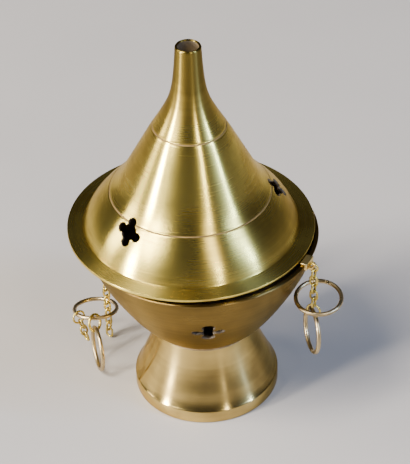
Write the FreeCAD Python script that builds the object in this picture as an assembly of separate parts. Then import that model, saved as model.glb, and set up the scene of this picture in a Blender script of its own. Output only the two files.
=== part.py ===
import FreeCAD, Part
import os, math
from FreeCAD import Vector as V

# Table thurible: a turned brass censer with a lift-off chimney lid and two
# hanging chain-and-ring sets.  Millimetres, +Z up, origin at the centre of
# the foot's base, -Y is the front.
os.makedirs("parts", exist_ok=True)

# ---- foot and bowl ----
BASE_R = 21.1            # widest radius of the foot's base band
NECK_R = 14.35           # radius of the seat where foot and bowl meet
NECK_Z = 22.6            # height of that seat
RIM_R = 33.2             # outer radius of the bowl's rim
RIM_Z = 54.3             # height of the rim
DECK_Z = 21.0            # underside of the foot's top plate
CUP_FLOOR_Z = 23.95      # floor of the bowl, inside
BOWL_VENT_Z = 39.5
BOWL_VENT_AZ = (-88.0, 32.0, 152.0)

# ---- lid, in its own axes: z = 0 is the top of the flange ----
FLANGE_R = 35.0
FLANGE_T = 1.0
LID_WALL = 1.0
LID_H = 58.3             # flange top to chimney mouth
MOUTH_BORE = 2.9         # bore radius of the chimney mouth
SKIRT_R = 27.6           # outer radius of the locating skirt
SKIRT_T = 0.9
SKIRT_H = 2.6            # skirt height below the flange
LID_AT = V(-2.69, 2.21, 56.13)   # the lid as it is set down, off centre
LID_TILT_Y = 1.3         # degrees about Y, then X
LID_TILT_X = -0.44
LID_VENT_Z = 9.8
LID_VENT_AZ = (-135.0, 5.0, 125.0)
ENGRAVED_Z = (11.7, 33.1)        # engraved lines on the lid
ENGRAVED_HALF = 0.45     # half width and depth of an engraved line
ENGRAVED_DEPTH = 0.22
ENGRAVED_RISE = 0.15     # how far the cutter stands off the surface

# ---- vents: lobes round a core.  Each lobe is its angle from the level
# line, its radius and its centre's distance from the vent's centre ----
LID_LOBES = ((-8.0, 1.35, 2.8), (98.0, 1.35, 2.8), (172.0, 1.35, 2.8), (278.0, 1.35, 2.8))
LID_CORE_R = 2.35
BOWL_LOBES = ((0.0, 1.35, 3.25), (90.0, 1.9, 3.2), (180.0, 1.35, 3.25), (270.0, 1.9, 3.2))
BOWL_CORE_R = 2.1
VENT_DEPTH = 5.0

# ---- screw, washer and nut of the foot ----
SCREW_R = 1.5
SCREW_HOLE_R = 1.6
SCREW_HEAD_R = 3.0
SCREW_HEAD_T = 1.0
SCREW_HEAD_Z = 24.05
SCREW_TIP_Z = 16.6
DOME_R = 4.2
SLOT_W = 0.8
SLOT_Z = 25.4
WASHER_R = 3.6
WASHER_Z = 20.25
WASHER_T = 0.7
NUT_R = 2.9              # across corners, as a radius
NUT_Z = 17.9
NUT_T = 2.3
NUT_BORE = 1.52
NUT_ROUND_R = 3.35       # sphere that rounds the nut's corners

# ---- charcoal grate ----
GRATE_R = 27.95
GRATE_Z = 44.6
GRATE_T = 0.8
GRATE_HOLE_R = 1.3
GRATE_RINGS = ((0, 1), (5.0, 6), (10.0, 12), (15.0, 18), (20.0, 24))

# ---- rim lugs ----
LUG_AZ = {"front": -28.5, "back": 147.0}
LUG_W = 4.4              # width of the strap, along the rim
STRAP_IN, STRAP_OUT = 31.75, 33.85
STRAP_T = 0.6
STRAP_LEG_IN = 32.5
TONGUE_W = 2.8
TONGUE_IN = 33.0
LUG_REACH = 35.2         # outermost radius of the tongue
TONGUE_Z = 52.9          # its underside
TONGUE_T = 0.7
TONGUE_ROUND = 0.5       # depth of its rounded end
LUG_HOLE_R = 0.7
LUG_HOLE_AT = 34.05

# ---- chains and rings ----
WEB_R = 34.95            # radius at which a chain hangs
LINK_L = 3.93            # chain link: outside length and width, wire radius
LINK_W = 2.7
LINK_WIRE = 0.32
PITCH = 2.55
CLEAR = 0.08             # play between one wire and the next
JUMP_R = 1.2             # jump ring, centreline radius
JUMP_WIRE = 0.3
JUMP_DROP = 0.8          # its centre, below the top of the tongue
CONN_R = 1.9             # connector ring, centreline radius
COUPLER_R = 2.55         # ring that joins the two back rings
COUPLER_WIRE = 0.42
COUPLER_TURN = 0.9       # how far it turns out of the end ring's plane
RING_R = 6.4             # suspension ring, centreline radius
RING_WIRE = 0.62
FRONT_LINKS = 5
BACK_LINKS = 20
TAIL_LINKS = 3
HANG_NORMAL = V(0.97, 0.22, -0.07).normalize()   # the hanging ring's axis
LOOSE_AT = V(32.2, -15.1, 40.7)                  # the loose ring
LOOSE_LEAN = 8.0
GATHER_AT = V(-32.8, 17.4, 13.0)                 # the gathering ring
GATHER_LEAN = 12.6
TAIL_ANGLE = 215.0       # where the tail hangs, round the gathering ring
TAIL_FALL = V(0.20, 0.05, -0.98).normalize()
TAIL_SLACK = 0.06
END_AT = V(-32.3, 5.85, 7.1)                     # the end ring
END_NORMAL = V(0.97, 0.25, -0.04).normalize()

UP = V(0, 0, 1)
INNER_HALF = LINK_L / 2 - 2 * LINK_WIRE          # half of a link's opening

# ---- outlines, as (radius, height) ----
FOOT_OUT = [(20.85, 4.4), (20.3, 5.3), (18.9, 8.6), (17.3, 12.4), (16.0, 16.0), (15.1, 19.5), (14.7, 22.2)]
FOOT_IN = [(20.0, 2.9), (19.0, 5.6), (17.5, 8.7), (15.95, 12.4), (14.7, 16.0), (13.8, 19.3), (13.5, DECK_Z)]
BOWL_OUT = [(14.7, 23.0), (15.9, 23.9), (18.2, 26.2), (21.6, 30.6), (25.3, 36.5),
            (28.6, 42.5), (31.3, 48.5), (33.0, 53.6)]
BOWL_IN = [(13.6, 24.3), (14.9, 25.0), (17.1, 27.1), (20.5, 31.3), (24.15, 37.1),
           (27.45, 43.1), (30.1, 49.0), (31.95, 54.0)]
LID_TENT = [(30.25, 1.3), (29.3, 3.2), (26.8, 7.0), (23.4, 10.9), (20.3, 14.6), (17.8, 18.9), (15.5, 23.3),
            (13.2, 27.7), (10.85, 32.1), (9.0, 35.3), (7.3, 38.4), (5.9, 41.4), (5.0, 44.4)]
LID_CHIMNEY = [(4.4, 47.8), (4.0, 51.8), (3.75, 55.2), (3.6, 57.9)]
LID_FLUE = [(3.6, 47.6), (3.2, 51.8), (3.0, 55.0), (MOUTH_BORE, 57.9)]
LID_FLUE_FROM = 4.0      # the tent's inner wall stops at this radius


# ---------------------------------------------------------------- helpers
def spline(pts):
    c = Part.BSplineCurve()
    c.interpolate([V(r, 0, z) for r, z in pts])
    return c


def lines(pts):
    """Straight edges from point to point."""
    return [Part.makeLine(V(a[0], 0, a[1]), V(b[0], 0, b[1])) for a, b in zip(pts[:-1], pts[1:])]


def curve(pts):
    return [spline(pts).toShape()]


def turned(edges):
    """The solid that a closed outline makes when it turns about Z."""
    solid = Part.Face(Part.Wire(edges)).revolve(V(0, 0, 0), UP, 360)
    return solid if solid.ShapeType == "Solid" else Part.Solid(solid.Shells[0])


def cylinder(r, low, height, x=0, y=0):
    return Part.makeCylinder(r, height, V(x, y, low), UP)


def screw_hole():
    return cylinder(SCREW_HOLE_R, DECK_Z - 1, CUP_FLOOR_Z - DECK_Z + 2)


def direction(az):
    a = math.radians(az)
    return V(math.cos(a), math.sin(a), 0)


def offset_pts(pts, t, n=14):
    """Points of the curve through pts, moved t to its inner side."""
    c = spline(pts)
    a, b = c.FirstParameter, c.LastParameter
    out = []
    for i in range(n + 1):
        u = a + (b - a) * i / n
        p, d = c.value(u), c.tangent(u)[0]
        # the inner side is to the left of a curve that climbs
        out.append((p.x - d.z * t, p.z + d.x * t))
    return out


def at_z(pts, z, steps=2000):
    """Radius at height z, and the outward normal's angle above the level."""
    c = spline(pts)
    a, b = c.FirstParameter, c.LastParameter
    best = min((abs(c.value(a + (b - a) * i / steps).z - z), i) for i in range(steps + 1))[1]
    u = a + (b - a) * best / steps
    p, d = c.value(u), c.tangent(u)[0]
    if d.z < 0:
        d = d * -1
    return p.x, math.atan2(-d.x, d.z)


def vent_cutter(pts, z, az, lobes, core_r):
    """A lobed prism, square to the wall at height z."""
    r, slope = at_z(pts, z)
    rad = direction(az)
    tan = V(-rad.y, rad.x, 0)
    n = rad * math.cos(slope) + UP * math.sin(slope)
    up = n.cross(tan)
    c = rad * r + UP * z - n * VENT_DEPTH * 0.6
    cutter = Part.makeCylinder(core_r, VENT_DEPTH, c, n)
    for angle, radius, off in lobes:
        a = math.radians(angle)
        p = c + tan * (off * math.cos(a)) + up * (off * math.sin(a))
        cutter = cutter.fuse(Part.makeCylinder(radius, VENT_DEPTH, p, n))
    return cutter


def engraving(pts, z):
    """A shallow V groove turned into the outer curve at height z."""
    r, s = at_z(pts, z)
    n = (math.cos(s), math.sin(s))
    t = (-math.sin(s), math.cos(s))

    def corner(out, along):
        return (r + n[0] * out + t[0] * along, z + n[1] * out + t[1] * along)

    a = corner(ENGRAVED_RISE, -ENGRAVED_HALF)
    b = corner(ENGRAVED_RISE, ENGRAVED_HALF)
    return turned(lines([a, b, corner(-ENGRAVED_DEPTH, 0), a]))


def torus(centre, normal, major, wire):
    return Part.makeTorus(major, wire, centre, normal)


def link(centre, long_dir, plane_normal):
    """One oval chain link: two straights and two half rings."""
    ld = V(long_dir).normalize()
    pn = V(plane_normal).normalize()
    wd = ld.cross(pn).normalize()
    rr = LINK_W / 2 - LINK_WIRE
    h = LINK_L / 2 - LINK_WIRE - rr
    # built in local XY: X is the width, Y the length
    sides = [Part.makeCylinder(LINK_WIRE, 2 * h, V(x, -h, 0), V(0, 1, 0)) for x in (rr, -rr)]
    top = Part.makeTorus(rr, LINK_WIRE, V(0, h, 0), UP, 0, 360, 180)
    bottom = Part.makeTorus(rr, LINK_WIRE, V(0, -h, 0), UP, 0, 360, 180)
    bottom.rotate(V(0, -h, 0), UP, 180)
    s = sides[0].fuse([sides[1], top, bottom]).removeSplitter().Solids[0]
    m = FreeCAD.Matrix(wd.x, ld.x, pn.x, centre.x,
                       wd.y, ld.y, pn.y, centre.y,
                       wd.z, ld.z, pn.z, centre.z, 0, 0, 0, 1)
    s.Placement = FreeCAD.Placement(m).multiply(s.Placement)
    return s


# ----------------------------------------------------------------- pieces
shapes = {}


def make_foot():
    """A hollow trumpet with a straight band at its base and a flat deck."""
    foot = turned(
        lines([(20.5, 0), (BASE_R, 0.5), (BASE_R, 4.1), FOOT_OUT[0]]) + curve(FOOT_OUT)
        + lines([FOOT_OUT[-1], (NECK_R, NECK_Z), (0, NECK_Z), (0, DECK_Z), FOOT_IN[-1]])
        + curve(FOOT_IN[::-1]) + lines([FOOT_IN[0], (19.7, 0), (20.5, 0)]))
    shapes["foot_pedestal"] = foot.cut(screw_hole()).Solids[0]


def make_bowl():
    """A flared cup with a rolled rim and three vents."""
    cup = turned(
        lines([(NECK_R, NECK_Z), BOWL_OUT[0]]) + curve(BOWL_OUT)
        + lines([BOWL_OUT[-1], (RIM_R, 53.9), (33.0, 54.2), (32.7, RIM_Z), (32.2, RIM_Z), BOWL_IN[-1]])
        + curve(BOWL_IN[::-1])
        + lines([BOWL_IN[0], (0, CUP_FLOOR_Z), (0, NECK_Z), (NECK_R, NECK_Z)]))
    cup = cup.cut(screw_hole())
    for az in BOWL_VENT_AZ:
        cup = cup.cut(vent_cutter(BOWL_OUT, BOWL_VENT_Z, az, BOWL_LOBES, BOWL_CORE_R))
    shapes["bowl"] = cup.Solids[0]


def make_lug(side):
    """A strap brazed over the rim, with a rounded, pierced tongue."""
    w, v = LUG_W / 2, TONGUE_W / 2
    strap = Part.makeBox(STRAP_OUT - STRAP_IN, LUG_W, STRAP_T, V(STRAP_IN, -w, RIM_Z))
    leg = Part.makeBox(STRAP_OUT - STRAP_LEG_IN, LUG_W, RIM_Z + STRAP_T - TONGUE_Z,
                       V(STRAP_LEG_IN, -w, TONGUE_Z))
    tip = LUG_REACH - TONGUE_ROUND
    edge = Part.Wire([Part.makeLine(V(TONGUE_IN, -v, TONGUE_Z), V(tip, -v, TONGUE_Z)),
                      Part.Arc(V(tip, -v, TONGUE_Z), V(LUG_REACH, 0, TONGUE_Z), V(tip, v, TONGUE_Z)).toShape(),
                      Part.makeLine(V(tip, v, TONGUE_Z), V(TONGUE_IN, v, TONGUE_Z)),
                      Part.makeLine(V(TONGUE_IN, v, TONGUE_Z), V(TONGUE_IN, -v, TONGUE_Z))])
    tongue = Part.Face(edge).extrude(V(0, 0, TONGUE_T))
    lug = strap.fuse([leg, tongue]).removeSplitter()
    lug = lug.cut(cylinder(LUG_HOLE_R, TONGUE_Z - 1, TONGUE_T + 2, LUG_HOLE_AT))
    lug.Placement = FreeCAD.Placement(V(0, 0, 0), FreeCAD.Rotation(UP, LUG_AZ[side]))
    solids = lug.cut(shapes["bowl"]).Solids
    shapes["rim_lug_" + side] = max(solids, key=lambda s: s.Volume)


def make_foot_screw():
    """A domed, slotted screw through bowl and foot, with washer and nut."""
    head_top = SCREW_HEAD_Z + SCREW_HEAD_T
    dome_at = head_top - math.sqrt(DOME_R ** 2 - SCREW_HEAD_R ** 2)
    dome = Part.makeSphere(DOME_R, V(0, 0, dome_at)).common(cylinder(SCREW_HEAD_R, head_top, 2))
    screw = cylinder(SCREW_HEAD_R, SCREW_HEAD_Z, SCREW_HEAD_T).fuse(dome)
    screw = screw.fuse(cylinder(SCREW_R, SCREW_TIP_Z, SCREW_HEAD_Z - SCREW_TIP_Z))
    slot = Part.makeBox(2 * DOME_R, SLOT_W, 2, V(-DOME_R, -SLOT_W / 2, SLOT_Z))
    shapes["foot_screw"] = screw.cut(slot).removeSplitter().Solids[0]
    washer = cylinder(WASHER_R, WASHER_Z, WASHER_T).cut(cylinder(SCREW_HOLE_R, WASHER_Z - 1, 3))
    shapes["foot_screw_washer"] = washer.Solids[0]
    corners = [direction(60 * k) * NUT_R + V(0, 0, NUT_Z) for k in range(7)]
    nut = Part.Face(Part.makePolygon(corners)).extrude(V(0, 0, NUT_T))
    nut = nut.common(Part.makeSphere(NUT_ROUND_R, V(0, 0, NUT_Z + NUT_T / 2)))
    shapes["foot_screw_nut"] = nut.cut(cylinder(NUT_BORE, NUT_Z - 1, NUT_T + 2)).Solids[0]


def make_grate():
    """A loose perforated disc above the bowl's vents."""
    disc = cylinder(GRATE_R, GRATE_Z, GRATE_T)
    holes = [cylinder(GRATE_HOLE_R, GRATE_Z - 1, GRATE_T + 2, p.x, p.y)
             for r, n in GRATE_RINGS for p in (direction(360 * k / n) * r for k in range(n))]
    shapes["charcoal_grate"] = disc.cut(Part.makeCompound(holes)).Solids[0]


def make_lid():
    """Skirt, flange, tent-shaped cone and chimney in one spun piece."""
    outer = LID_TENT + LID_CHIMNEY
    inner = [p for p in offset_pts(LID_TENT, LID_WALL) if p[0] > LID_FLUE_FROM] + LID_FLUE
    skirt_in, skirt_low = SKIRT_R - SKIRT_T, -FLANGE_T - SKIRT_H
    lid = turned(
        lines([(skirt_in, skirt_low), (SKIRT_R, skirt_low), (SKIRT_R, -FLANGE_T),
               (FLANGE_R - 0.3, -FLANGE_T), (FLANGE_R, -0.7), (FLANGE_R, -0.25), (FLANGE_R - 0.25, 0),
               (30.9, 0.35), (30.45, 0.75), outer[0]])
        + curve(outer) + lines([outer[-1], (3.45, 58.2), (3.3, LID_H), (3.0, 58.2), inner[-1]])
        + curve(inner[::-1]) + lines([inner[0], (skirt_in, -0.2), (skirt_in, skirt_low)]))
    for z in ENGRAVED_Z:
        lid = lid.cut(engraving(outer, z))
    for az in LID_VENT_AZ:
        lid = lid.cut(vent_cutter(outer, LID_VENT_Z, az, LID_LOBES, LID_CORE_R))
    lid = lid.Solids[0]
    tilt = FreeCAD.Rotation(V(0, 1, 0), LID_TILT_Y).multiply(FreeCAD.Rotation(V(1, 0, 0), LID_TILT_X))
    lid.Placement = FreeCAD.Placement(LID_AT, tilt)
    shapes["lid"] = lid


def start_chain(side, count):
    """Jump ring through the lug, then count oval links hanging straight down.
    Gives where they hang, the outward and rimward directions, and the height
    of the last link's opening at its lower end."""
    d = direction(LUG_AZ[side])
    t = V(-d.y, d.x, 0)
    at = d * WEB_R
    z_ring = TONGUE_Z + TONGUE_T - JUMP_DROP
    shapes[side + "_chain_jump_ring"] = torus(at + UP * z_ring, t, JUMP_R, JUMP_WIRE)
    z = z_ring - JUMP_R + JUMP_WIRE + CLEAR - INNER_HALF
    for k in range(count):
        # the first link lies across the radial plane, the next in it
        name = "%s_chain_link_%02d" % (side, k + 1)
        shapes[name] = link(at + UP * z, UP, d if k % 2 == 0 else t)
        z -= PITCH
    return at, d, t, z + PITCH - INNER_HALF


def hanging_centre(top_z, at):
    """Centre of the hanging ring, its topmost inner point at height top_z."""
    up = (UP - HANG_NORMAL * HANG_NORMAL.z).normalize()
    return at + UP * (top_z + CLEAR + RING_WIRE) - up * RING_R


def make_front_set():
    """A short chain, a ring hanging from it and a loose ring round it."""
    at, d, t, low = start_chain("front", FRONT_LINKS)
    opening = CONN_R - JUMP_WIRE
    z = low + CLEAR - opening
    shapes["front_chain_end_connector"] = torus(at + UP * z, t, CONN_R, JUMP_WIRE)
    shapes["front_hanging_ring"] = torus(hanging_centre(z - opening, at), HANG_NORMAL, RING_R, RING_WIRE)
    lean = V(0, -math.tan(math.radians(LOOSE_LEAN)), 1)
    shapes["front_loose_ring"] = torus(LOOSE_AT, lean, RING_R, RING_WIRE)


def make_tail(e1, e2):
    """A connector on the gathering ring, with a short tail of links."""
    a = math.radians(TAIL_ANGLE)
    wire_at = GATHER_AT + e1 * (RING_R * math.cos(a)) + e2 * (RING_R * math.sin(a))
    tan = e1 * -math.sin(a) + e2 * math.cos(a)
    down = (TAIL_FALL - tan * TAIL_FALL.dot(tan)).normalize()
    centre = wire_at + down * (CONN_R - JUMP_WIRE - RING_WIRE - TAIL_SLACK)
    shapes["back_tail_connector"] = torus(centre, tan, CONN_R, JUMP_WIRE)
    p = centre + down * CONN_R + TAIL_FALL * (INNER_HALF - JUMP_WIRE - CLEAR)
    across = tan.cross(down)
    across = (across - TAIL_FALL * across.dot(TAIL_FALL)).normalize()
    for k in range(TAIL_LINKS):
        shapes["back_tail_link_%02d" % (k + 1)] = link(p, TAIL_FALL * -1, across)
        p = p + TAIL_FALL * PITCH
        across = across.cross(TAIL_FALL).normalize()


def make_back_set():
    """A long chain down to the table, gathered through a ring, and the ring
    at its end, which stands on the table."""
    start_chain("back", BACK_LINKS)
    lean = math.radians(GATHER_LEAN)
    e1, e2 = V(1, 0, 0), V(0, math.cos(lean), -math.sin(lean))
    shapes["back_gathering_ring"] = torus(GATHER_AT, V(0, math.sin(lean), math.cos(lean)), RING_R, RING_WIRE)
    make_tail(e1, e2)
    shapes["back_end_ring"] = torus(END_AT, END_NORMAL, RING_R, RING_WIRE)
    # the coupler runs round both rings where they come nearest
    near = GATHER_AT - e2 * RING_R
    q = near - END_AT
    q = (q - END_NORMAL * q.dot(END_NORMAL)).normalize()
    far = END_AT + q * RING_R
    gap = near - far
    across = END_NORMAL.cross(q)
    normal = e1 + across * math.copysign(COUPLER_TURN, across.dot(e1))
    normal = normal - gap * (normal.dot(gap) / gap.dot(gap))
    shapes["back_ring_coupler"] = torus((near + far) * 0.5, normal, COUPLER_R, COUPLER_WIRE)


make_foot()
make_bowl()
for side in LUG_AZ:
    make_lug(side)
make_foot_screw()
make_grate()
make_lid()
make_front_set()
make_back_set()

for name, shape in shapes.items():
    shape.exportStep("parts/%s.step" % name)
    print(name, "valid" if shape.isValid() else "NOT VALID", round(shape.Volume, 2))
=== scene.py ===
"""Thurible censer: turned brass foot, bowl and chimney lid, with two chain and
ring sets.  Every piece is built here in its own local axes, in millimetres,
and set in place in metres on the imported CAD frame."""
import math

import bmesh
import bpy
import numpy as np
from mathutils import Matrix, Vector


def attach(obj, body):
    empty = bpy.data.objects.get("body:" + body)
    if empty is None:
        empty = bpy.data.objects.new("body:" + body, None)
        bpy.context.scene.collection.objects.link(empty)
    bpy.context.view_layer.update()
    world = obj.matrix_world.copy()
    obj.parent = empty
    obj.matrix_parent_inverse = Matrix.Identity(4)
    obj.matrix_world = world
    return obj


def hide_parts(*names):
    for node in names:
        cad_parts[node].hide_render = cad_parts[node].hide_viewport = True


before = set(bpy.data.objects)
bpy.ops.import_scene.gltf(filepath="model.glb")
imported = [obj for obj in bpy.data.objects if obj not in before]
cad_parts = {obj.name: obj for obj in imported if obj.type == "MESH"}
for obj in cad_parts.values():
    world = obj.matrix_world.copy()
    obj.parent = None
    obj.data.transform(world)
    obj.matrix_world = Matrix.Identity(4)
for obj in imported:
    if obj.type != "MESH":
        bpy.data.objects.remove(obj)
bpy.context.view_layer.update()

MM = 0.001
Z = Vector((0, 0, 1))

# ---- the turned pieces, as the CAD has them (mm) ----
RIM_R, RIM_Z = 33.2, 54.3
NECK_Z = 22.6
LID_WALL = 1.0
FLUE_R, FLUE_Z = 4.0, 45  # the even wall stops here, where the chimney's own bore takes over
SCREW_HOLE_R = 1.6
VENT_DEPTHS = (-3.0, 2.0) # how far a vent's cutter reaches in and out of the wall
LID_H = 58.3
SKIRT_R, SKIRT_H = 27.6, 2.6
MOUTH_BORE = 2.9
LID_AT = Vector((-2.69, 2.21, 56.13))
LID_TILT_X, LID_TILT_Y = -0.44, 1.3
LID_VENT_Z, LID_VENT_AZ = 9.8, (-135.0, 5.0, 125.0)
BOWL_VENT_Z, BOWL_VENT_AZ = 39.5, (-88.0, 32.0, 152.0)
# a vent: its core's radius, then each lobe's angle from the level line, radius and offset
LID_VENT = (2.35, (-8.0, 1.35, 2.8), (98.0, 1.35, 2.8), (172.0, 1.35, 2.8), (278.0, 1.35, 2.8))
BOWL_VENT = (2.1, (0.0, 1.35, 3.25), (90.0, 1.9, 3.2), (180.0, 1.35, 3.25), (270.0, 1.9, 3.2))
LINES = (11.7, 33.1)      # engraved lines on the lid, heights above the flange
TURN = 360                # steps round a turned piece

# ---- lugs and chains ----
LUG_AZ = {"front": -28.5, "back": 147.0}
LUG_REACH, LUG_W, TONGUE_W = 35.2, 4.4, 2.8
TONGUE_Z, TONGUE_T = 52.9, 0.7
LUG_HOLE_R, LUG_HOLE_AT = 0.7, 34.05
WEB_R = 34.95
LINK_L, LINK_W, LINK_WIRE, PITCH = 3.93, 2.7, 0.32, 2.55
JUMP_R, JUMP_WIRE = 1.2, 0.3
CONN_R, COUPLER_R, COUPLER_WIRE = 1.9, 2.55, 0.42
RING_R, RING_WIRE = 6.4, 0.62
FRONT_LINKS, BACK_LINKS, TAIL_LINKS = 5, 20, 3
GAP = 0.08                # clearance between wires that hang in each other
JUMP_DROP = 0.8           # a jump ring's centre, below the tongue's top
TAIL_GAP = 0.06           # clearance between the gathering ring and the tail's connector
SEAM_AT = 0.9             # where a ring's ends meet, an angle round it
HANG_NORMAL = Vector((0.97, 0.22, -0.07)).normalized()
LOOSE_AT, LOOSE_LEAN = Vector((32.2, -15.1, 40.7)), 8
GATHER_AT, GATHER_LEAN = Vector((-32.8, 17.4, 13.0)), 12.6
END_AT, END_NORMAL = Vector((-32.3, 5.85, 7.1)), Vector((0.97, 0.25, -0.04)).normalized()
COUPLER_TWIST = 0.9       # how far the coupler turns out of the rings' line
TAIL_AZ = 215             # where the tail hangs from the gathering ring
TAIL_FALL = Vector((0.20, 0.05, -0.98)).normalized()


# ------------------------------------------------------------------ curves
def smooth(points, step=0.35):
    """Points along a natural cubic spline through the given (r, z) points."""
    p = np.array(points, float)
    chord = np.hypot(*np.diff(p, axis=0).T)
    t = np.concatenate([[0], np.cumsum(chord)])
    n = len(p)
    a = np.zeros((n, n))
    b = np.zeros((n, 2))
    a[0, 0] = a[-1, -1] = 1
    for i in range(1, n - 1):
        a[i, i - 1], a[i, i], a[i, i + 1] = chord[i - 1], 2 * (chord[i - 1] + chord[i]), chord[i]
        b[i] = 6 * ((p[i + 1] - p[i]) / chord[i] - (p[i] - p[i - 1]) / chord[i - 1])
    m = np.linalg.solve(a, b)
    count = max(2, int(t[-1] / step))
    out = []
    for s in np.linspace(0, t[-1], count + 1):
        i = min(int(np.searchsorted(t, s, side="right")) - 1, n - 2)
        h, u, v = chord[i], t[i + 1] - s, s - t[i]
        out.append(m[i] * u ** 3 / (6 * h) + m[i + 1] * v ** 3 / (6 * h)
                   + (p[i] / h - m[i] * h / 6) * u + (p[i + 1] / h - m[i + 1] * h / 6) * v)
    return [tuple(q) for q in out]


def inner_side(curve, t):
    """The curve moved t towards its axis, along its own normals."""
    p = np.array(curve)
    d = np.gradient(p, axis=0)
    d /= np.hypot(*d.T)[:, None]
    return [tuple(q) for q in p + np.stack([-d[:, 1], d[:, 0]], -1) * t]


def normal_at(curve, z):
    """Radius, and the outward normal's angle above the horizontal, at height z."""
    p = np.array(curve)
    i = int(np.argmin(abs(p[:, 1] - z)))
    d = p[min(i + 1, len(p) - 1)] - p[max(i - 1, 0)]
    return p[i, 0], math.atan2(-d[0], d[1])


def with_groove(curve, z, width=0.28, depth=0.14):
    """The curve with a fine engraved groove at height z."""
    r, s = normal_at(curve, z)
    n = np.array((math.cos(s), math.sin(s)))
    t = np.array((-math.sin(s), math.cos(s)))
    mid = np.array((r, z))
    low = [q for q in curve if np.dot(np.array(q) - mid, t) < -width]
    high = [q for q in curve if np.dot(np.array(q) - mid, t) > width]
    cut = [(-1, 0), (-0.75, 0.12), (-0.4, -0.7), (0, -1), (0.4, -0.7), (0.75, 0.12), (1, 0)]
    return low + [tuple(mid + t * width * a + n * depth * b) for a, b in cut] + high


# ------------------------------------------------------------------ meshes
def new_object(name, bm, matrix=None, sharp=32):
    """An object in metres from a bmesh in millimetres."""
    bmesh.ops.recalc_face_normals(bm, faces=bm.faces)
    mesh = bpy.data.meshes.new(name)
    bm.to_mesh(mesh)
    bm.free()
    mesh.transform(Matrix.Scale(MM, 4))
    for f in mesh.polygons:
        f.use_smooth = True
    mesh.set_sharp_from_angle(angle=math.radians(sharp))
    o = bpy.data.objects.new(name, mesh)
    bpy.context.collection.objects.link(o)
    if matrix is not None:
        m = matrix.copy()
        m.translation = m.translation * MM
        o.matrix_world = m
    return o


def lathe(name, outline, matrix=None, turn=TURN):
    """Turns a closed (r, z) outline about Z."""
    bm = bmesh.new()
    rings = []
    for r, z in outline:
        if r < 1e-6:
            rings.append([bm.verts.new((0, 0, z))])
        else:
            rings.append([bm.verts.new((r * math.cos(a), r * math.sin(a), z))
                          for a in (2 * math.pi * k / turn for k in range(turn))])
    for a, b in zip(rings, rings[1:] + rings[:1]):
        for k in range(turn):
            j = (k + 1) % turn
            quad = [a[k % len(a)], a[j % len(a)], b[j % len(b)], b[k % len(b)]]
            face = list(dict.fromkeys(quad))
            if len(face) > 2:
                bm.faces.new(face)
    return new_object(name, bm, matrix)


def quatrefoil(vent, steps=200):
    """Outline of a vent about its centre."""
    core, *lobes = vent
    pts = []
    for k in range(steps):
        a = 2 * math.pi * k / steps
        r = core
        for angle, lobe_r, offset in lobes:
            d = a - math.radians(angle)
            s = lobe_r ** 2 - (offset * math.sin(d)) ** 2
            if s > 0:
                r = max(r, offset * math.cos(d) + math.sqrt(s))
        pts.append((r * math.cos(a), r * math.sin(a)))
    return pts


def pierce(piece, curve, z, az, vent):
    """Cuts a vent square through the wall at height z."""
    r, s = normal_at(curve, z)
    a = math.radians(az)
    n = Vector((math.cos(a) * math.cos(s), math.sin(a) * math.cos(s), math.sin(s)))
    t = Vector((-math.sin(a), math.cos(a), 0))
    u = n.cross(t)
    c = Vector((math.cos(a), math.sin(a), 0)) * r + Z * z
    bm = bmesh.new()
    outline = quatrefoil(vent)
    low, high = ([bm.verts.new(c + t * x + u * y + n * depth) for x, y in outline]
                 for depth in VENT_DEPTHS)
    count = len(low)
    for k in range(count):
        j = (k + 1) % count
        bm.faces.new((low[k], low[j], high[j], high[k]))
    bm.faces.new(low[::-1])
    bm.faces.new(high)
    cutter = new_object("cutter", bm)
    # the cut walls take the vent-wall material: soot with painted shade
    for f in cutter.data.polygons:
        f.material_index = VENT_CUT
    cutter.matrix_world = piece.matrix_world
    cut = piece.modifiers.new("vent", "BOOLEAN")
    cut.operation = "DIFFERENCE"
    cut.solver = "EXACT"
    cut.object = cutter
    apply_modifiers(piece)
    bpy.data.objects.remove(cutter)


def apply_modifiers(o):
    """Bakes the object's modifiers into its mesh."""
    graph = bpy.context.evaluated_depsgraph_get()
    mesh = bpy.data.meshes.new_from_object(o.evaluated_get(graph))
    o.modifiers.clear()
    o.data = mesh


def facing(long_dir, plane_normal, centre):
    """Places local Y along long_dir and local Z along plane_normal."""
    y = Vector(long_dir).normalized()
    z = Vector(plane_normal)
    z = (z - y * z.dot(y)).normalized()
    x = y.cross(z)
    m = Matrix((x, y, z)).transposed().to_4x4()
    m.translation = Vector(centre)
    return m


def wire_loop(name, spine, wire, matrix, seam=0, round_steps=14):
    """Bends wire round a closed flat spine.  The ends meet in a fine seam."""
    bm = bmesh.new()
    rings = []
    n = len(spine)
    for i, (x, y) in enumerate(spine):
        px, py = spine[i - 1]
        qx, qy = spine[(i + 1) % n]
        tx, ty = qx - px, qy - py
        length = math.hypot(tx, ty)
        ox, oy = ty / length, -tx / length
        thin = 0.78 if i == seam else 1.0
        ring = []
        for k in range(round_steps):
            a = 2 * math.pi * k / round_steps
            out, up = wire * thin * math.cos(a), wire * thin * math.sin(a)
            ring.append(bm.verts.new((x + ox * out, y + oy * out, up)))
        rings.append(ring)
    for a, b in zip(rings, rings[1:] + rings[:1]):
        for k in range(round_steps):
            j = (k + 1) % round_steps
            bm.faces.new((a[k], b[k], b[j], a[j]))
    bm.transform(matrix)
    return new_object(name, bm, sharp=60)


def round_spine(radius, seam_at, steps=72):
    """A circle with two extra points close beside its seam."""
    out = []
    for k in range(steps):
        a = seam_at + 2 * math.pi * k / steps
        out.append((radius * math.cos(a), radius * math.sin(a)))
        if k == 0:
            b = a + 0.06 / radius
            out.append((radius * math.cos(b), radius * math.sin(b)))
        if k == steps - 1:
            b = seam_at - 0.06 / radius
            out.append((radius * math.cos(b), radius * math.sin(b)))
    return out


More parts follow.
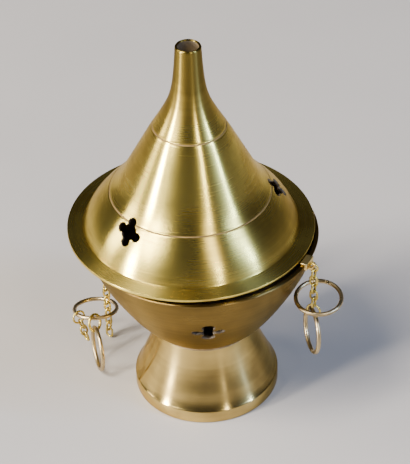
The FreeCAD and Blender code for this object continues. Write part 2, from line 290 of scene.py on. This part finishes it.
def oval_spine():
    """A chain link's centreline, with its seam at the middle of one side."""
    rr = LINK_W / 2 - LINK_WIRE
    h = LINK_L / 2 - LINK_WIRE - rr
    angles = [math.pi * k / 12 for k in range(13)]
    out = [(rr, 0), (rr, 0.05), (rr, h * 0.5)]
    out += [(rr * math.cos(a), h + rr * math.sin(a)) for a in angles]
    out += [(-rr, h * 0.4), (-rr, -h * 0.4)]
    out += [(-rr * math.cos(a), -h - rr * math.sin(a)) for a in angles]
    return out + [(rr, -h * 0.5), (rr, -0.05)]


# --------------------------------------------------------------- materials
# a turned piece's material slots, after slot 0, its outer skin
INNER_SKIN, VENT_CUT, ENGRAVED = 1, 2, 3


class Nodes:
    """A short way to write a node tree."""

    def __init__(self, name):
        self.material = bpy.data.materials.new(name)
        self.material.use_nodes = True
        self.tree = self.material.node_tree
        self.tree.nodes.clear()

    def add(self, kind, inputs=None, **settings):
        node = self.tree.nodes.new(kind)
        for key, value in settings.items():
            setattr(node, key, value)
        for key, value in (inputs or {}).items():
            if isinstance(value, bpy.types.NodeSocket):
                self.tree.links.new(value, node.inputs[key])
            else:
                node.inputs[key].default_value = value
        return node

    def math(self, operation, *values):
        node = self.add("ShaderNodeMath", operation=operation)
        for socket, value in zip(node.inputs, values):
            if isinstance(value, bpy.types.NodeSocket):
                self.tree.links.new(value, socket)
            else:
                socket.default_value = value
        return node.outputs[0]

    def spread(self, value, low, high, to_low, to_high):
        return self.add("ShaderNodeMapRange", {0: value, 1: low, 2: high, 3: to_low, 4: to_high}).outputs[0]

    def ramp(self, fac, *stops):
        node = self.add("ShaderNodeValToRGB", {"Fac": fac})
        band = node.color_ramp
        while len(band.elements) < len(stops):
            band.elements.new(0.5)
        for element, (place, colour) in zip(band.elements, stops):
            element.position = place
            element.color = (*colour, 1)
        return node.outputs["Color"]

    def noise(self, vector, scale, detail=3.0, rough=0.55):
        settings = {"Vector": vector, "Scale": scale, "Detail": detail, "Roughness": rough}
        return self.add("ShaderNodeTexNoise", settings).outputs["Fac"]

    def rings(self, w, scale, detail=2.0):
        settings = {"W": w, "Scale": scale, "Detail": detail}
        return self.add("ShaderNodeTexNoise", settings, noise_dimensions="1D").outputs["Fac"]

    def finish(self, **inputs):
        shader = self.add("ShaderNodeBsdfPrincipled", {k.replace("_", " "): v for k, v in inputs.items()})
        out = self.add("ShaderNodeOutputMaterial")
        self.tree.links.new(shader.outputs[0], out.inputs["Surface"])
        return self.material


def turned_brass(name, clean, dull, rough, side, streak=0.9, brushed=0.3, darker_top=None):
    """Brass spun on a lathe: fine rings round the axis, streaked highlights and patchy tarnish.
    side adds or subtracts height and radius, whichever runs along the wall.  darker_top is the two heights
    (m) between which it darkens towards its top."""
    n = Nodes(name)
    place = n.add("ShaderNodeTexCoord").outputs["Object"]
    xyz = n.add("ShaderNodeSeparateXYZ", {0: place})
    flat = n.add("ShaderNodeCombineXYZ", {"X": xyz.outputs["X"], "Y": xyz.outputs["Y"]}).outputs[0]
    radius = n.add("ShaderNodeVectorMath", {0: flat}, operation="LENGTH").outputs["Value"]
    along = n.math(side, radius, xyz.outputs["Z"])
    fine = n.rings(along, 2600)
    broad = n.rings(along, 520)
    patches = n.noise(place, 55)
    specks = n.noise(place, 900, 2.0)
    wear = n.math("ADD", n.math("MULTIPLY", patches, 0.85), n.math("MULTIPLY", broad, 0.15))
    if darker_top:
        # darker towards the top, between these two heights
        wear = n.math("ADD", wear, n.spread(xyz.outputs["Z"], *darker_top, 0.0, 0.6))
    colour = n.ramp(wear, (0.40, clean), (0.62, dull), (1.0, [c * 0.35 for c in dull]))
    grain = n.math("ADD", n.math("MULTIPLY", fine, 0.6), n.math("MULTIPLY", broad, 0.25))
    relief = n.math("ADD", grain, n.math("MULTIPLY", specks, 0.25))
    bump = n.add("ShaderNodeBump", {"Strength": brushed, "Distance": 0.00006, "Height": relief}).outputs[0]
    gloss = n.math("ADD", wear, n.math("MULTIPLY", fine, 0.25))
    tangent = n.add("ShaderNodeTangent", direction_type="RADIAL", axis="Z").outputs[0]
    roughness = n.spread(gloss, 0.35, 0.95, rough, rough + 0.16)
    return n.finish(Base_Color=colour, Metallic=1.0, Specular_Tint=(1.0, 0.86, 0.6, 1.0),
                    Roughness=roughness, Anisotropic=streak, Anisotropic_Rotation=0.25,
                    Tangent=tangent, Normal=bump)


def wire_brass(name, clean, dull, rough):
    """Drawn wire: small pits, tarnish gathering in patches."""
    n = Nodes(name)
    place = n.add("ShaderNodeTexCoord").outputs["Object"]
    patches = n.noise(place, 260)
    pits = n.noise(place, 2400, 3.0)
    wear = n.math("ADD", n.math("MULTIPLY", patches, 0.8), n.math("MULTIPLY", pits, 0.2))
    colour = n.ramp(wear, (0.36, clean), (0.62, dull))
    bump = n.add("ShaderNodeBump", {"Strength": 0.3, "Distance": 0.00005, "Height": pits}).outputs[0]
    roughness = n.spread(wear, 0.3, 0.7, rough, rough + 0.2)
    return n.finish(Base_Color=colour, Metallic=1.0, Roughness=roughness, Normal=bump)


def sooty_brass(name, bare, soot, metal=0.7):
    """The unpolished inside: brass browned and blackened by smoke.  The same finish, with soot and grime,
    also paints shade on the vent walls and in the engraved lines.
    """
    n = Nodes(name)
    place = n.add("ShaderNodeTexCoord").outputs["Object"]
    smoke = n.noise(place, 120, 5.0)
    crust = n.noise(place, 1400, 3.0)
    colour = n.ramp(smoke, (0.35, bare), (0.65, soot))
    bump = n.add("ShaderNodeBump", {"Strength": 0.4, "Distance": 0.0001, "Height": crust}).outputs[0]
    roughness = n.spread(smoke, 0.3, 0.7, 0.42, 0.75)
    return n.finish(Base_Color=colour, Metallic=metal, Roughness=roughness, Normal=bump)


LID_BRASS = turned_brass("lid_brass", (0.86, 0.67, 0.15), (0.52, 0.37, 0.08), 0.19, "SUBTRACT",
                         brushed=0.22, darker_top=(0.036, 0.05))
# painted reflection: the bowl's brass colour is made far darker than brass, standing in for a dark table
# reflected in its underside, since the floor below it is pale
BOWL_BRASS_PAINTED_REFLECTION = turned_brass("bowl_brass", (0.18, 0.115, 0.032), (0.11, 0.07, 0.022), 0.24, "ADD",
                          brushed=0.22)
FOOT_BRASS = turned_brass("foot_brass", (0.62, 0.45, 0.15), (0.36, 0.25, 0.08), 0.13, "SUBTRACT",
                          brushed=0.2)
GRATE_BRASS = turned_brass("grate_brass", (0.50, 0.36, 0.17), (0.20, 0.15, 0.10), 0.40, "ADD", 0.3)
INSIDE = sooty_brass("inside_soot", (0.34, 0.24, 0.12), (0.06, 0.05, 0.04))
# soot with painted shade: the vent walls are made near black and without metal, so the holes read as shaded
VENT_WALL_SOOT_AND_SHADE = sooty_brass("vent_wall_soot_and_shade", (0.10, 0.065, 0.03), (0.04, 0.03, 0.02), 0.0)
# grime with painted shade: the engraved lines are made darker, standing in for the shade in them
GROOVE_GRIME_AND_SHADE = sooty_brass("groove_grime_and_shade", (0.40, 0.27, 0.10), (0.16, 0.10, 0.04))
LUG_BRASS = wire_brass("lug_brass", (0.90, 0.70, 0.28), (0.66, 0.47, 0.16), 0.22)
RING_BRASS = wire_brass("ring_brass", (0.58, 0.45, 0.24), (0.34, 0.25, 0.13), 0.22)
CHAIN_BRASS = wire_brass("chain_brass", (0.84, 0.66, 0.15), (0.46, 0.34, 0.09), 0.2)
FIXING_BRASS = wire_brass("fastener_brass", (0.62, 0.47, 0.20), (0.30, 0.22, 0.12), 0.3)


# ------------------------------------------------------------------ pieces
def place_piece(o, node, body, slot, *materials):
    """Gives a piece its finish, hides the CAD node that it stands for and sets it on the body that it rides
    on.
    """
    for m in materials:
        o.data.materials.append(m)
    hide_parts(node)
    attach(o, body)


def paint_inside(o, outer_count, seam=None):
    """The faces after the outer outline's, and those of the seam, take the inner material."""
    for f in o.data.polygons:
        row = f.index // TURN
        if row >= outer_count or row == seam:
            f.material_index = INNER_SKIN


def paint_grooves(o, curve, heights, width=0.25):
    """Faces in the engraved lines take the groove material: grime with painted shade."""
    for f in o.data.polygons:
        c = f.center / MM
        r = math.hypot(c.x, c.y)
        for z in heights:
            gr, gs = normal_at(curve, z)
            along = (c.z - z) * math.cos(gs) - (r - gr) * math.sin(gs)
            deep = (r - gr) * math.cos(gs) + (c.z - z) * math.sin(gs)
            if abs(along) < width and -0.3 < deep < -0.03:
                f.material_index = ENGRAVED


def foot_pedestal():
    outer = smooth([(20.85, 4.4), (20.3, 5.3), (18.9, 8.6), (17.3, 12.4),
                    (16.0, 16.0), (15.1, 19.5), (14.7, 22.2)])
    inner = smooth([(20.0, 2.9), (19.0, 5.6), (17.5, 8.7), (15.95, 12.4),
                    (14.7, 16.0), (13.8, 19.3), (13.5, 21.0)])
    skin = [(20.5, 0.0), (20.9, 0.15), (21.1, 0.5), (21.1, 4.0), (21.0, 4.25)] + outer + [(14.35, NECK_Z)]
    hollow = [(SCREW_HOLE_R, NECK_Z), (SCREW_HOLE_R, 21.0)] + inner[::-1] + [(19.7, 0.0)]
    o = lathe("foot_pedestal_turned", skin + hollow)
    paint_inside(o, len(skin), len(skin) - 2)
    place_piece(o, "foot_pedestal", "censer", "foot_brass", FOOT_BRASS, INSIDE)


def bowl():
    outer = smooth([(14.7, 23.0), (15.9, 23.9), (18.2, 26.2), (21.6, 30.6), (25.3, 36.5),
                    (28.6, 42.5), (31.3, 48.5), (33.0, 53.6)])
    inner = smooth([(13.6, 24.3), (14.9, 25.0), (17.1, 27.1), (20.5, 31.3), (24.15, 37.1),
                    (27.45, 43.1), (30.1, 49.0), (31.95, 54.0)])
    skin = [(14.35, NECK_Z)] + outer
    skin += [(RIM_R, 53.9), (RIM_R - 0.03, 54.05), (33.0, 54.2), (32.7, RIM_Z), (32.2, RIM_Z), (32.05, 54.2)]
    hollow = inner[::-1] + [(SCREW_HOLE_R, 23.96), (SCREW_HOLE_R, NECK_Z)]
    o = lathe("bowl_turned", skin + hollow)
    for m in (BOWL_BRASS_PAINTED_REFLECTION, INSIDE, VENT_WALL_SOOT_AND_SHADE):
        o.data.materials.append(m)
    paint_inside(o, len(skin), 0)
    for az in BOWL_VENT_AZ:
        pierce(o, outer, BOWL_VENT_Z, az, BOWL_VENT)
    place_piece(o, "bowl", "censer", "bowl_brass")


def lid():
    cone = smooth([(30.25, 1.3), (29.3, 3.2), (26.8, 7.0), (23.4, 10.9), (20.3, 14.6), (17.8, 18.9),
                   (15.5, 23.3), (13.2, 27.7), (10.85, 32.1), (9.0, 35.3), (7.3, 38.4), (5.9, 41.4),
                   (5.0, 44.4), (4.4, 47.8), (4.0, 51.8), (3.75, 55.2), (3.6, 57.9)])
    wall = [p for p in inner_side(cone, LID_WALL) if p[0] > FLUE_R and p[1] < FLUE_Z]
    under = smooth(wall[::6] + [(3.6, 47.6), (3.2, 51.8), (3.0, 55.0), (MOUTH_BORE, 57.9)])
    engraved = cone
    for z in LINES:
        engraved = with_groove(engraved, z)
    low = -1.0 - SKIRT_H
    skin = [(SKIRT_R - 0.9, low), (SKIRT_R, low), (SKIRT_R, -1.0), (34.7, -1.0), (34.9, -0.9),
            (35.0, -0.7), (35.0, -0.25), (34.93, -0.08), (34.75, 0.0), (30.9, 0.35), (30.62, 0.48),
            (30.45, 0.75)]
    skin += engraved + [(3.45, 58.2), (3.3, LID_H), (3.0, 58.2)]
    hollow = under[::-1] + [(SKIRT_R - 0.9, -0.2)]
    tilt_x = Matrix.Rotation(math.radians(LID_TILT_X), 4, "X")
    tilt = Matrix.Rotation(math.radians(LID_TILT_Y), 4, "Y") @ tilt_x
    o = lathe("lid_turned", skin + hollow, Matrix.Translation(LID_AT) @ tilt)
    for m in (LID_BRASS, INSIDE, VENT_WALL_SOOT_AND_SHADE, GROOVE_GRIME_AND_SHADE):
        o.data.materials.append(m)
    paint_inside(o, len(skin))
    paint_grooves(o, cone, LINES)
    bpy.context.view_layer.update()
    for az in LID_VENT_AZ:
        pierce(o, cone, LID_VENT_Z, az, LID_VENT)
    place_piece(o, "lid", "lid", "lid_brass")


def rim_lug(side):
    """A strap over the rim with a rounded, pierced tongue."""
    az = math.radians(LUG_AZ[side])
    bm = bmesh.new()
    section = [(31.75, 54.3), (31.75, 54.78), (31.87, 54.9), (33.6, 54.9), (33.78, 54.82), (33.85, 54.6),
               (33.85, 53.0), (33.75, 52.9), (33.0, 52.9), (33.0, 54.3)]
    half = LUG_W / 2
    ends = [[bm.verts.new((r, y, z)) for r, z in section] for y in (-half, half)]
    for k in range(len(section)):
        j = (k + 1) % len(section)
        bm.faces.new((ends[0][k], ends[0][j], ends[1][j], ends[1][k]))
    bm.faces.new(ends[0][::-1])
    bm.faces.new(ends[1])
    o = new_object("rim_lug_%s_strap" % side, bm, Matrix.Rotation(az, 4, "Z"))
    bevel = o.modifiers.new("edge", "BEVEL")
    bevel.width = 0.0001
    bevel.segments = 2
    place_piece(o, "rim_lug_" + side, "censer", "lug_brass", LUG_BRASS)
    tongue = tongue_of(side, az)
    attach(tongue, "censer")


def tongue_of(side, az):
    """The pierced plate that the jump ring hangs through."""
    half = TONGUE_W / 2
    bulge = 0.5
    tip = LUG_REACH - bulge
    steps = 24
    angles = (-math.pi / 2 + math.pi * k / steps for k in range(1, steps))
    edge = [(RIM_R, half), (RIM_R, -half), (tip, -half)]
    edge += [(tip + bulge * math.cos(a), half * math.sin(a)) for a in angles]
    edge += [(tip, half)]
    bm = bmesh.new()
    low, high = TONGUE_Z, TONGUE_Z + TONGUE_T
    rings = [[bm.verts.new((x, y, z)) for x, y in edge] for z in (low, high)]
    count = len(edge)
    for k in range(count):
        j = (k + 1) % count
        bm.faces.new((rings[0][k], rings[0][j], rings[1][j], rings[1][k]))
    bm.faces.new(rings[0][::-1])
    bm.faces.new(rings[1])
    o = new_object("rim_lug_%s_tongue" % side, bm, Matrix.Rotation(az, 4, "Z"))
    hole = lathe("cutter", [(0, low - 1), (LUG_HOLE_R, low - 1), (LUG_HOLE_R, high + 1), (0, high + 1)],
                 Matrix.Rotation(az, 4, "Z") @ Matrix.Translation((LUG_HOLE_AT, 0, 0)), 48)
    bpy.context.view_layer.update()
    cut = o.modifiers.new("hole", "BOOLEAN")
    cut.solver = "EXACT"
    cut.object = hole
    apply_modifiers(o)
    bpy.data.objects.remove(hole)
    o.data.materials.append(LUG_BRASS)
    return o


def foot_screw():
    head = [(3.0, 24.05), (3.0, 25.0), (2.9, 25.2)]
    dome = (math.radians(x) for x in range(42, 0, -3))
    head += [(4.2 * math.sin(a), 22.11 + 4.2 * math.cos(a)) for a in dome] + [(0, 26.31)]
    shank = [(0, 16.6), (1.3, 16.6), (1.5, 16.8), (1.5, 24.05)]
    o = lathe("foot_screw_turned", shank + head, None, 96)
    bm = bmesh.new()
    slot_box = Matrix.Translation((0, 0, 26.0)) @ Matrix.Diagonal((7, 0.8, 1.2, 1))
    bmesh.ops.create_cube(bm, size=1, matrix=slot_box)
    slot = new_object("cutter", bm)
    bpy.context.view_layer.update()
    cut = o.modifiers.new("slot", "BOOLEAN")
    cut.solver = "EXACT"
    cut.object = slot
    apply_modifiers(o)
    bpy.data.objects.remove(slot)
    place_piece(o, "foot_screw", "censer", "fastener_brass", FIXING_BRASS)


def carried_over():
    """CAD pieces that show only when the lid is off or the foot is turned up."""
    for node, slot, material in (("foot_screw_washer", "fastener_brass", FIXING_BRASS),
                                 ("foot_screw_nut", "fastener_brass", FIXING_BRASS),
                                 ("charcoal_grate", "grate_brass", GRATE_BRASS)):
        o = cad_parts[node]
        o.data.materials.clear()
        o.data.materials.append(material)


def direction(az):
    """The level unit vector at azimuth az."""
    a = math.radians(az)
    return Vector((math.cos(a), math.sin(a), 0))


def bent_wire(node, spine, wire, matrix, slot="chain_brass", material=CHAIN_BRASS, seam=0, steps=14):
    """A closed wire piece that stands for a node and rides on the body of the same name."""
    o = wire_loop(node + "_wire", spine, wire, matrix, seam, steps)
    place_piece(o, node, node, slot, material)


def ring(node, centre, normal, radius, wire, slot="chain_brass", material=CHAIN_BRASS, steps=14):
    """A bent wire ring about normal."""
    matrix = facing(Vector(normal).orthogonal(), normal, centre)
    bent_wire(node, round_spine(radius, SEAM_AT), wire, matrix, slot, material, steps=steps)


def chain_link(node, centre, long_dir, plane_normal):
    """An oval link, long_dir its length and plane_normal square to its loop."""
    bent_wire(node, oval_spine(), LINK_WIRE, facing(long_dir, plane_normal, centre), seam=1)


INNER_HALF = LINK_L / 2 - 2 * LINK_WIRE
BIG_RING = {"radius": RING_R, "wire": RING_WIRE, "slot": "ring_brass", "material": RING_BRASS, "steps": 24}


def start_chain(side, count):
    """Jump ring through the lug, then oval links hanging straight down.
    Returns where it hangs, its rings' axis and the height of the last link's lower bend."""
    d = direction(LUG_AZ[side])
    t = Vector((-d.y, d.x, 0))
    at = d * WEB_R
    z_ring = TONGUE_Z + TONGUE_T - JUMP_DROP
    ring(side + "_chain_jump_ring", at + Z * z_ring, t, JUMP_R, JUMP_WIRE)
    z = z_ring - JUMP_R + JUMP_WIRE + GAP - INNER_HALF
    for k in range(count):
        chain_link("%s_chain_link_%02d" % (side, k + 1), at + Z * z, Z, d if k % 2 == 0 else t)
        z -= PITCH
    return at, t, z + PITCH - INNER_HALF


def front_set():
    """The short chain with its connector, hanging ring and loose ring."""
    at, t, bar = start_chain("front", FRONT_LINKS)
    z = bar + GAP - (CONN_R - JUMP_WIRE)
    ring("front_chain_end_connector", at + Z * z, t, CONN_R, JUMP_WIRE)
    top = z - (CONN_R - JUMP_WIRE) + GAP + RING_WIRE
    rise = (Z - HANG_NORMAL * HANG_NORMAL.z).normalized()
    ring("front_hanging_ring", at + Z * top - rise * RING_R, HANG_NORMAL, **BIG_RING)
    ring("front_loose_ring", LOOSE_AT, (0, -math.tan(math.radians(LOOSE_LEAN)), 1), **BIG_RING)


def back_set():
    """The long chain with its gathering ring, tail, coupler and end ring."""
    start_chain("back", BACK_LINKS)
    lean = math.radians(GATHER_LEAN)
    normal = Vector((0, math.sin(lean), math.cos(lean)))
    e1, e2 = Vector((1, 0, 0)), Vector((0, math.cos(lean), -math.sin(lean)))
    ring("back_gathering_ring", GATHER_AT, normal, **BIG_RING)
    back_tail(e1, e2)
    ring("back_end_ring", END_AT, END_NORMAL, **BIG_RING)
    coupler(GATHER_AT - e2 * RING_R, e1)


def coupler(near, e1):
    """A small ring that ties the gathering ring's wire, at near, to the end ring's."""
    q = near - END_AT
    q = (q - END_NORMAL * q.dot(END_NORMAL)).normalized()
    far = END_AT + q * RING_R
    across = END_NORMAL.cross(q)
    normal = e1 + across * (COUPLER_TWIST if across.dot(e1) >= 0 else -COUPLER_TWIST)
    gap = near - far
    normal -= gap * (normal.dot(gap) / gap.dot(gap))
    ring("back_ring_coupler", (near + far) * 0.5, normal, COUPLER_R, COUPLER_WIRE)


def back_tail(e1, e2):
    """A connector on the gathering ring with a short tail of links."""
    a = math.radians(TAIL_AZ)
    wire_at = GATHER_AT + e1 * (RING_R * math.cos(a)) + e2 * (RING_R * math.sin(a))
    tangent = e1 * -math.sin(a) + e2 * math.cos(a)
    down = (TAIL_FALL - tangent * TAIL_FALL.dot(tangent)).normalized()
    c = wire_at + down * (CONN_R - JUMP_WIRE - RING_WIRE - TAIL_GAP)
    ring("back_tail_connector", c, tangent, CONN_R, JUMP_WIRE)
    p = c + down * CONN_R + TAIL_FALL * (INNER_HALF - JUMP_WIRE - GAP)
    across = tangent.cross(down)
    across = (across - TAIL_FALL * across.dot(TAIL_FALL)).normalized()
    for k in range(TAIL_LINKS):
        chain_link("back_tail_link_%02d" % (k + 1), p, -TAIL_FALL, across)
        p = p + TAIL_FALL * PITCH
        across = across.cross(TAIL_FALL).normalized()


# ------------------------------------------------------ floor, light, camera
LIGHT_AIM, LIGHT_DISTANCE = Vector((0, 0, 0.06)), 1.3
CAMERA_AT = (0.001123, -0.440524, 0.394639)
CAMERA_PITCH, CAMERA_ROLL, CAMERA_LENS = 37.722, 2.344, 173.24


def floor():
    n = Nodes("floor")
    place = n.add("ShaderNodeTexCoord").outputs["Object"]
    cloud = n.noise(place, 6)
    colour = n.ramp(cloud, (0.3, (0.36, 0.33, 0.30)), (0.7, (0.40, 0.365, 0.33)))
    grit = n.noise(place, 300)
    bump = n.add("ShaderNodeBump", {"Strength": 0.05, "Distance": 0.0004, "Height": grit}).outputs[0]
    material = n.finish(Base_Color=colour, Roughness=0.55, Normal=bump)
    bpy.ops.mesh.primitive_plane_add(size=6)
    o = bpy.context.object
    o.name = "floor"
    o.data.materials.append(material)


def area_light(name, az, el, width, height, watts, colour):
    """A soft rectangle facing the object from azimuth az and elevation el."""
    a, e = math.radians(az), math.radians(el)
    away = Vector((math.cos(a) * math.cos(e), math.sin(a) * math.cos(e), math.sin(e)))
    data = bpy.data.lights.new(name, "AREA")
    data.shape = "RECTANGLE"
    data.size, data.size_y = width, height
    data.energy = watts
    data.color = colour
    o = bpy.data.objects.new(name, data)
    o.location = LIGHT_AIM + away * LIGHT_DISTANCE
    o.rotation_euler = away.to_track_quat("Z", "Y").to_euler()
    bpy.context.collection.objects.link(o)


def lights():
    world = bpy.data.worlds.new("studio")
    world.use_nodes = True
    world.node_tree.nodes["Background"].inputs["Color"].default_value = (0.06, 0.061, 0.066, 1)
    bpy.context.scene.world = world
    area_light("key", -150, 53, 0.34, 0.7, 32, (1.0, 0.97, 0.92))
    area_light("low_left", -154, 16, 0.13, 0.36, 34, (1.0, 0.97, 0.93))
    area_light("left_wall", 176, 30, 0.3, 0.8, 10, (1.0, 0.95, 0.88))
    area_light("front_strip", -62, 38, 0.05, 1.1, 7, (1.0, 0.97, 0.92))
    area_light("window", -24, 34, 0.06, 1.0, 20, (0.40, 0.58, 1.0))


def camera():
    """The photo's view: pitched down a little under 38 degrees, with a slight roll."""
    pitch, roll = math.radians(CAMERA_PITCH), math.radians(CAMERA_ROLL)
    right = Vector((1, 0, 0))
    ahead = Vector((0, math.cos(pitch), -math.sin(pitch)))
    up = Vector((0, math.sin(pitch), math.cos(pitch)))
    x = right * math.cos(roll) - up * math.sin(roll)
    y = right * math.sin(roll) + up * math.cos(roll)
    data = bpy.data.cameras.new("camera")
    data.sensor_fit = "HORIZONTAL"
    data.sensor_width = 36
    data.lens = CAMERA_LENS
    data.clip_start, data.clip_end = 0.01, 20
    o = bpy.data.objects.new("camera", data)
    m = Matrix((x, y, -ahead)).transposed().to_4x4()
    m.translation = CAMERA_AT
    o.matrix_world = m
    bpy.context.collection.objects.link(o)
    bpy.context.scene.camera = o


foot_pedestal()
bowl()
lid()
rim_lug("front")
rim_lug("back")
foot_screw()
carried_over()
front_set()
back_set()
floor()
lights()
camera()
